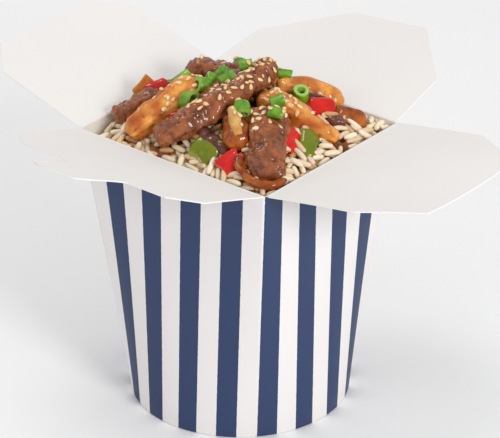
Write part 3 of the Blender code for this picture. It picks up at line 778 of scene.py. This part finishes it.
def along_path(path, share):
    """A point on the smooth curve through a path's points (Catmull-Rom)."""
    points = [Vector(p) * MM for p in path]
    points.insert(0, 2 * points[0] - points[1])
    points.append(2 * points[-1] - points[-2])
    spans = len(points) - 3
    at = min(share * spans, spans - 1e-6)
    k = int(at)
    t = at - k
    a, b, c, d = points[k:k + 4]
    return 0.5 * (2 * b + (c - a) * t + (2 * a - 5 * b + 4 * c - d) * t ** 2
                  + (3 * b - a - 3 * c + d) * t ** 3)


def ripple(point, size, seed):
    """Smooth noise of about one wave for each size, between -1 and 1."""
    return noise.noise(point / size + Vector((seed * 7.3, seed * 1.7, seed * 3.1)))


def beef_relief(share, turn, length, girth, seed):
    """Seared beef: pleats across the grain, clefts along it, and crags."""
    across = Vector((share * length, girth * math.cos(turn), girth * math.sin(turn)))
    pleats = ripple(Vector((across.x / 2.0, across.y * 0.2, across.z * 0.2)), 1.0, seed)
    lumps = ripple(across, 4.5, seed + 1)
    crags = ripple(across, 1.6, seed + 2)
    wrinkles = 1 - 2 * abs(ripple(across, 1.15, seed + 4))
    cleft = 1 - abs(ripple(Vector((across.x * 0.22, across.y, across.z)), 2.6, seed + 3))
    ridges = 1 - 2 * abs(pleats)
    clefts = 2.2 * max(0.0, cleft - 0.78)
    return 0.66 * ridges + 1.05 * lumps + 0.4 * crags + 0.22 * wrinkles - clefts


def chicken_relief(share, turn, length, girth, seed):
    """Chicken breast: soft lumps, long fibres and small torn dents."""
    across = Vector((share * length, girth * math.cos(turn), girth * math.sin(turn)))
    lumps = ripple(across, 5.5, seed)
    fibres = ripple(Vector((across.x * 0.18, across.y, across.z)), 1.3, seed + 1)
    dents_and_hollow_shade = max(0.0, ripple(across, 2.3, seed + 2) - 0.25)
    return 1.15 * lumps + 0.45 * fibres - 1.8 * dents_and_hollow_shade


def onion_relief(share, turn, length, girth, seed):
    """Soft onion: folds with veins that run along it."""
    across = Vector((share * length, girth * math.cos(turn), girth * math.sin(turn)))
    folds = ripple(across, 3.2, seed)
    veins = ripple(Vector((across.x * 0.12, across.y, across.z)), 0.8, seed + 1)
    return 0.5 * folds + 0.14 * veins


def pepper_relief(share, turn, length, girth, seed):
    across = Vector((share * length, girth * math.cos(turn), girth * math.sin(turn)))
    return 0.22 * ripple(across, 4.0, seed) + 0.04 * ripple(across, 0.9, seed + 1)


RELIEFS = {"beef": beef_relief, "chicken": chicken_relief, "onion": onion_relief,
           "pepper": pepper_relief}


def strip_stations(count):
    """Stations along a strip: share of its length, and its size, rounded at the ends."""
    cap = (0.12, 0.4, 0.68, 0.88)
    start = [(0.0, size) for size in cap]
    body = [(i / count, 1.0) for i in range(count + 1)]
    finish = [(1.0, size) for size in reversed(cap)]
    return start + body + finish


def strip_mesh(piece):
    """A strip at full detail: its outline as in the part, with its own relief, and painted shade marked
    in its hollows.
    """
    width, thick = piece["size"]
    path, square = piece["path"], piece.get("square", 2.6)
    roll, cup = math.radians(piece.get("roll", 0)), piece.get("cup", 0) * MM
    blunt = piece.get("blunt", 0.5)
    seed = sum(ord(c) for c in piece["name"])
    kind = piece["finish"].split("_")[0]
    relief = RELIEFS[kind]
    length = sum((Vector(b) - Vector(a)).length for a, b in zip(path, path[1:]))
    count = max(16, int(length / (0.45 if kind == "beef" else 0.7)))
    sides = (76 if kind == "beef" else 52) if thick > 5 else 36
    girth = (width + thick) / 4
    bm = bmesh.new()
    rings, cuts, dents_and_hollow_shade = [], [], []
    for share, scale in strip_stations(count):
        here = along_path(path, share)
        ahead = along_path(path, min(1.0, share + 0.02)) - along_path(path, max(0.0, share - 0.02))
        ahead.normalize()
        side = ahead.cross(Vector((0, 0, 1))).normalized()
        up = side.cross(ahead)
        lean = roll + 0.25 * math.sin(3.0 * share + seed)
        cos_lean, sin_lean = math.cos(lean), math.sin(lean)
        side, up = side * cos_lean + up * sin_lean, up * cos_lean - side * sin_lean
        near_end = min(share, 1 - share) / 0.16
        full = blunt + (1 - blunt) * math.sin(math.pi / 2 * min(1.0, near_end))
        wave = 1 + 0.10 * math.sin(7.0 * share + seed)
        swell = 1 + 0.12 * math.sin(9.0 * share + 2.0 * seed)
        half_w = width / 2 * MM * full * wave
        half_t = thick / 2 * MM * full * swell
        push = -0.35 if share == 0.0 else 0.35
        end_shift = ahead * push * min(half_w, half_t) * math.sqrt(1 - scale ** 2)
        ring = []
        for i in range(sides):
            turn = 2 * math.pi * i / sides
            c, s = math.cos(turn), math.sin(turn)
            x = math.copysign(abs(c) ** (2 / square), c)
            z = math.copysign(abs(s) ** (2 / square), s)
            out = (side * x / half_w + up * z / half_t).normalized()
            depth = relief(share, turn, length, girth, seed)
            # Painted shade: the deeper a point lies in the relief, the darker it is painted.
            dents_and_hollow_shade.append(max(0.0, min(1.0, 0.25 - 0.8 * depth)))
            depth *= MM * min(1.0, 0.4 + thick / 9)
            place = here + side * x * half_w * scale + up * (z * half_t * scale - cup * x * x * scale)
            ring.append(bm.verts.new(place + out * depth * scale + end_shift + RIM))
            edge = max(0.0, abs(x) - 0.86) / 0.14 if square > 3 else 0.0
            cuts.append(min(1.0, max(edge, 1.0 if scale < 0.9 else 0.0)))
        rings.append(ring)
    bridge_rings(bm, rings)
    bm.faces.new(rings[0])
    bm.faces.new(rings[-1])
    bmesh.ops.recalc_face_normals(bm, faces=bm.faces)
    return bm, {"cut": cuts, "hollow_shade": dents_and_hollow_shade}


def ring_mesh(piece):
    """A slice of spring onion: ridged skin, a paler bore, and raw cut ends."""
    heading, pitch = (math.radians(a) for a in piece["axis"])
    width, bore, length = (v * MM for v in piece["tube"])
    axis = Vector((math.cos(pitch) * math.cos(heading), math.cos(pitch) * math.sin(heading),
                   math.sin(pitch)))
    turn = Vector((0, 0, 1)).rotation_difference(axis).to_matrix()
    centre = Vector(piece["at"]) * MM + RIM
    seed = sum(ord(c) for c in piece["name"])
    outer, inner, half = width / 2, bore / 2, length / 2
    soft = 0.25 * MM
    profile = [(outer, -half + soft, 0), (outer, -half * 0.4, 0), (outer, half * 0.4, 0),
               (outer, half - soft, 0), (outer - soft * 0.6, half, 0.7),
               ((outer + inner) / 2, half - soft * 0.3, 1), (inner + soft * 0.4, half, 1),
               (inner, half - soft, 0.8), (inner * 0.95, 0.0, 0.5), (inner, -half + soft, 0.8),
               (inner + soft * 0.4, -half, 1), ((outer + inner) / 2, -half + soft * 0.3, 1),
               (outer - soft * 0.6, -half, 0.7)]
    sides = 40
    squeeze = 1 + 0.12 * math.sin(seed * 2.1)
    bm = bmesh.new()
    rings, cuts = [], []
    for radius, height, cut in profile:
        ring = []
        for i in range(sides):
            a = 2 * math.pi * i / sides
            ridge = 0.02 * math.cos(14 * a) + 0.07 * math.cos(2 * a + seed)
            ridge += 0.04 * math.cos(3 * a - seed)
            r = radius * (1 + ridge)
            slant = 0.12 * r * math.cos(a + seed) if abs(height) > half * 0.5 else 0.0
            point = Vector((r * math.cos(a) * squeeze, r * math.sin(a) / squeeze, height + slant))
            ring.append(bm.verts.new(centre + turn @ point))
            cuts.append(cut)
        rings.append(ring)
    bridge_rings(bm, rings, closed=True)
    bmesh.ops.recalc_face_normals(bm, faces=bm.faces)
    return bm, {"cut": cuts}


def stir_fry(mats):
    """Every strip and slice, each standing for its solid."""
    made = []
    for piece in TOPPINGS:
        bm, marks = strip_mesh(piece)
        smooth = 38 if "pepper" in piece["name"] else 80
        obj = add_piece(piece["name"] + "_cut", bm, [mats[piece["finish"]]],
                        smooth=smooth, values=marks)
        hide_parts(piece["name"])
        made.append(obj)
    for piece in SPRING_ONIONS:
        bm, marks = ring_mesh(piece)
        obj = add_piece(piece["name"] + "_slice", bm, [mats["spring_onion"]],
                        smooth=60, values=marks)
        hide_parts(piece["name"])
        made.append(obj)
    return made


# --- The rice ------------------------------------------------------------


def rice_height(x, y):
    """The top of the rice: low at the rim, heaped towards the middle."""
    rim = HEIGHT + RICE_AT_RIM - 0.042 * y + 0.01 * x
    across = 1 - min(1, abs(x) / (39 * MM)) ** 2.4
    along = 1 - min(1, abs(y) / (45 * MM)) ** 2.4
    lump = RICE_LUMP * noise.noise(Vector((x, y, 0)) / (7 * MM))
    return rim + RICE_DOME * across * along + lump


def near_food(point):
    """How near a point of the rice is to the saucy pieces: 1 at one, 0 beyond 9 mm."""
    nearest = min((point - place).length - reach for place, reach in FOOD_POINTS)
    return max(0.0, min(1.0, 1 - nearest / (9 * MM)))


def food_points():
    points = []
    for piece in TOPPINGS:
        reach = min(piece["size"]) / 2 * MM
        steps = 8 if len(piece["path"]) > 2 else 3
        for i in range(steps + 1):
            points.append((along_path(piece["path"], i / steps) + RIM, reach))
    return points


FOOD_POINTS = food_points()


def rice_core(mats):
    """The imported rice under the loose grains, with relief where it shows."""
    inset = BOARD + 0.5 * MM
    bm = bmesh.new()
    levels = [BASE_RECESS + BOARD + 0.3 * MM, 30 * MM, 60 * MM, 90 * MM]
    rings = [[bm.verts.new(p) for p in wall_ring(z, inset)] for z in levels]
    edge = wall_ring(HEIGHT + RICE_AT_RIM - 3 * MM, inset)
    stains_and_shade = [0.0] * (len(levels) * len(COLUMNS))
    for k in range(24):
        share = 1.0 - k / 24
        ring = []
        for point in edge:
            x, y = point.x * share, point.y * share
            bump = 0.9 * MM * noise.noise(Vector((x, y, 3)) / (1.8 * MM))
            spot = Vector((x, y, rice_height(x, y) - CORE_DROP + bump))
            ring.append(bm.verts.new(spot))
            # Painted shade with stain: rice heaped up between the pieces, and rice near them, is
            # darkened towards near black.
            heaped = min(1.0, max(0.0, (spot.z - HEIGHT) / MM - 4.5) / 3)
            stains_and_shade.append(0.3 + 1.6 * max(heaped, near_food(spot) ** 2))
        rings.append(ring)
    bridge_rings(bm, rings)
    bm.faces.new(rings[0])
    bm.faces.new(rings[-1])
    bmesh.ops.recalc_face_normals(bm, faces=bm.faces)
    core = add_piece("rice_core", bm, [mats["rice"]], smooth=80, values={"stain_and_shade": stains_and_shade})
    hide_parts("rice_heap")


def grain_shape(rings=7, sides=8):
    """One cooked grain: a plump, slightly bent spindle with blunt ends."""
    points = []
    for i in range(rings):
        t = math.pi * (i + 0.5) / rings
        radius = math.sin(t) ** 0.5
        along = -math.cos(t)
        for j in range(sides):
            a = 2 * math.pi * j / sides
            points.append((along, radius * math.cos(a), radius * math.sin(a)))
    faces = []
    for i in range(rings - 1):
        for j in range(sides):
            k = (j + 1) % sides
            faces.append((i * sides + j, i * sides + k, (i + 1) * sides + k, (i + 1) * sides + j))
    faces.append(tuple(reversed(range(sides))))
    faces.append(tuple((rings - 1) * sides + j for j in range(sides)))
    return points, faces


class Spacing:
    """Keeps track of where grains lie, so that the next keeps clear of them."""

    def __init__(self, apart):
        self.apart = apart
        self.cells = {}

    def cell(self, point):
        return tuple(math.floor(v / self.apart) for v in point)

    def clear(self, points):
        for point in points:
            i, j, k = self.cell(point)
            for di in (-1, 0, 1):
                for dj in (-1, 0, 1):
                    for dk in (-1, 0, 1):
                        for other in self.cells.get((i + di, j + dj, k + dk), ()):
                            if (point - other).length < self.apart:
                                return False
        return True

    def fill(self, points):
        for point in points:
            self.cells.setdefault(self.cell(point), []).append(point)


def rice_slope(x, y):
    step = 2 * MM
    slope_x = (rice_height(x + step, y) - rice_height(x - step, y)) / (2 * step)
    slope_y = (rice_height(x, y + step) - rice_height(x, y - step)) / (2 * step)
    return Vector((-slope_x, -slope_y, 1)).normalized()


def rice_grains(mats):
    """Loose grains in two layers: one pressed into the heap, one lying on it."""
    rng = random.Random(7)
    unit, unit_faces = grain_shape()
    verts, faces, stains_and_shade = [], [], []
    half_x, half_y = MOUTH_X / 2 - 2.4 * MM, MOUTH_Y / 2 - 2.4 * MM
    spacing = Spacing(1.55 * MM)
    for attempt in range(GRAIN_TRIES):
        top = attempt > GRAIN_TRIES * 0.6
        x, y = rng.uniform(-half_x, half_x), rng.uniform(-half_y, half_y)
        length = GRAIN_LENGTH * rng.uniform(0.82, 1.12)
        thick = GRAIN_WIDTH * rng.uniform(0.88, 1.08)
        heading = rng.uniform(0, 2 * math.pi)
        normal = rice_slope(x, y)
        flat = Vector((math.cos(heading), math.sin(heading), 0))
        axis = (flat - normal * flat.dot(normal)).normalized()
        axis = (axis + normal * rng.gauss(0, 0.38 if top else 0.2)).normalized()
        reach = axis * length / 2
        lift = (rng.uniform(0.5, 1.6) if top else rng.uniform(-1.7, 0.1)) * MM
        centre = Vector((x, y, rice_height(x, y) + lift))
        if max(abs(x) + abs(reach.x) - half_x, abs(y) + abs(reach.y) - half_y) > 0.9 * MM:
            continue
        buried = min((centre - place).length - radius for place, radius in FOOD_POINTS)
        heaped = centre.z - HEIGHT > 7.5 * MM
        if buried < (0.6 if top else -0.9) * MM or heaped and buried < 3.2 * MM:
            continue
        body = [centre + reach * share for share in (-0.8, -0.4, 0.0, 0.4, 0.8)]
        if not spacing.clear(body):
            continue
        spacing.fill(body)
        side = axis.cross(normal).normalized()
        up = side.cross(axis)
        bend = rng.uniform(-0.12, 0.2) * thick
        start = len(verts)
        # Sauce stain near the pieces, at random; grains heaped between the pieces get painted shade on
        # top of it.
        stain_and_shade = max(0.0, near_food(centre) ** 1.5 * rng.uniform(0.0, 0.95) + rng.gauss(0, 0.06))
        stain_and_shade += 0.75 if heaped else 0.0
        for a, b, c in unit:
            point = centre + axis * a * length / 2 + side * b * thick / 2
            point += up * (c * thick * 0.46 - bend * a * a)
            verts.append(point)
            stains_and_shade.append(stain_and_shade)
        faces += [tuple(start + i for i in face) for face in unit_faces]
    mesh_piece("rice_loose", verts, faces, mats["rice"], {"stain_and_shade": stains_and_shade})


def mesh_piece(name, verts, faces, mat, values=None):
    mesh = bpy.data.meshes.new(name)
    mesh.from_pydata(verts, [], faces)
    mesh.materials.append(mat)
    for label, numbers in (values or {}).items():
        layer = mesh.attributes.new(label, "FLOAT", "POINT")
        layer.data.foreach_set("value", numbers)
    mesh.shade_smooth()
    mesh.update()
    obj = bpy.data.objects.new(name, mesh)
    obj.location = BOX_MIDDLE
    bpy.context.scene.collection.objects.link(obj)
    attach(obj, "box")
    return obj


# --- Sauce ---------------------------------------------------------------

# Where sauce has run off the stir-fry: the middle of a pool, how far it
# reaches across and along, and its heading.
POOLS = [
    ((-28, -40), (9, 5), -30),
    ((-18, -39), (7, 4), 20),
    ((10, -43), (8, 3.5), 10),
    ((34, -16), (4, 9), 5),
    ((-37, 8), (3, 7), 0),
    ((22, 38), (8, 5), -35),
    ((36, 30), (3.5, 7), 0),
]


# How far out the inside of the wall lets a pool spread.
POOL_EDGE_X = 39.5 * MM
POOL_EDGE_Y = 45.2 * MM


def sauce_pools(mats):
    """Thin puddles between the grains, thinning to nothing at their edges."""
    bm = bmesh.new()
    for (x, y), (reach_x, reach_y), heading in POOLS:
        turn = Matrix.Rotation(math.radians(heading), 2)
        rings = []
        for k in range(7):
            share = 1 - k / 7
            ring = []
            for i in range(40):
                a = 2 * math.pi * i / 40
                wander = 1 + 0.22 * math.sin(2 * a + x) + 0.13 * math.sin(5 * a + y)
                flat = turn @ Vector((reach_x * math.cos(a), reach_y * math.sin(a))) * share * wander
                px, py = (x + flat.x) * MM, (y + flat.y) * MM
                px = max(-POOL_EDGE_X, min(POOL_EDGE_X, px))
                py = max(-POOL_EDGE_Y, min(POOL_EDGE_Y, py))
                depth = (1.0 - 1.9 * share ** 3) * MM
                ring.append(bm.verts.new((px, py, rice_height(px, py) - 0.6 * MM + depth * 0.8)))
            rings.append(ring)
        bridge_rings(bm, rings)
        bm.faces.new(rings[-1])
        under = []
        for vert in rings[0]:
            under.append(bm.verts.new(vert.co - Vector((0, 0, 1.2 * MM))))
        bridge_rings(bm, [under, rings[0]])
        bm.faces.new(under)
    bmesh.ops.recalc_face_normals(bm, faces=bm.faces)
    add_piece("sauce_pools", bm, [mats["sauce"]], smooth=80)


# --- Sesame --------------------------------------------------------------

# Where the seeds fell: a strip, the stretch of it, how far to each side, and
# how many lie there.
SESAME = [
    ("beef_long", 0.3, 1.0, 6.0, 85),
    ("chicken_left", 0.5, 1.0, 5.0, 18),
    ("chicken_right", 0.0, 0.7, 5.5, 22),
    ("beef_front", 0.0, 0.35, 7.0, 22),
    ("onion_glazed", 0.2, 0.9, 3.5, 4),
    ("beef_back", 0.2, 0.9, 3.0, 3),
    ("beef_far", 0.2, 0.9, 3.5, 8),
    ("chicken_far", 0.1, 0.9, 3.5, 10),
]


def seed_shape(rings=7, sides=8):
    """A sesame seed: a flat teardrop."""
    points, faces = [], []
    for i in range(rings):
        t = math.pi * (i + 0.5) / rings
        along = -math.cos(t)
        radius = math.sin(t) * (1 - 0.32 * along)
        for j in range(sides):
            a = 2 * math.pi * j / sides
            points.append((along, radius * math.cos(a), radius * math.sin(a)))
    for i in range(rings - 1):
        for j in range(sides):
            k = (j + 1) % sides
            faces.append((i * sides + j, i * sides + k, (i + 1) * sides + k, (i + 1) * sides + j))
    faces.append(tuple(reversed(range(sides))))
    faces.append(tuple((rings - 1) * sides + j for j in range(sides)))
    return points, faces


def drop(trees, x, y):
    """Where something let go above (x, y) comes to lie, and the slope there."""
    best = None
    for tree in trees:
        place, normal, _, _ = tree.ray_cast(Vector((x, y, HEIGHT + 0.06)), Vector((0, 0, -1)))
        if place and (best is None or place.z > best[0].z):
            best = (place, normal)
    return best


def sesame(food, mats):
    rng = random.Random(21)
    trees = []
    for obj in food:
        corners = [v.co for v in obj.data.vertices]
        trees.append(BVHTree.FromPolygons(corners, [p.vertices for p in obj.data.polygons]))
    paths = {piece["name"]: piece["path"] for piece in TOPPINGS}
    unit, unit_faces = seed_shape()
    verts, faces, lying = [], [], []
    for name, low, high, spread_mm, count in SESAME:
        for _ in range(count):
            share = rng.uniform(low, high)
            at = along_path(paths[name], share)
            angle = rng.uniform(0, 2 * math.pi)
            away = spread_mm * MM * math.sqrt(rng.random())
            hit = drop(trees, at.x + away * math.cos(angle), at.y + away * math.sin(angle))
            if not hit or hit[1].z < 0.25:
                continue
            place, normal = hit
            if any((place - other).length < 1.9 * MM for other in lying):
                continue
            lying.append(place)
            flat = Vector((math.cos(angle * 3), math.sin(angle * 3), 0))
            axis = (flat - normal * flat.dot(normal)).normalized()
            axis = (axis + normal * rng.gauss(0, 0.15)).normalized()
            side = axis.cross(normal).normalized()
            up = side.cross(axis)
            half = Vector((rng.uniform(1.25, 1.5), rng.uniform(0.72, 0.86), 0.45)) * MM
            centre = place + normal * 0.3 * MM
            start = len(verts)
            for a, b, c in unit:
                verts.append(centre + axis * a * half.x + side * b * half.y + up * c * half.z)
            faces += [tuple(start + i for i in face) for face in unit_faces]
    mesh_piece("sesame_seeds", verts, faces, mats["sesame"])


# --- Assembly ------------------------------------------------------------


def main():
    make_camera()
    make_studio()
    mats = make_materials()
    carton_wall(mats)
    carton_base(mats)
    carton_flaps(mats)
    food = stir_fry(mats)
    rice_core(mats)
    rice_grains(mats)
    sauce_pools(mats)
    sesame(food, mats)


main()
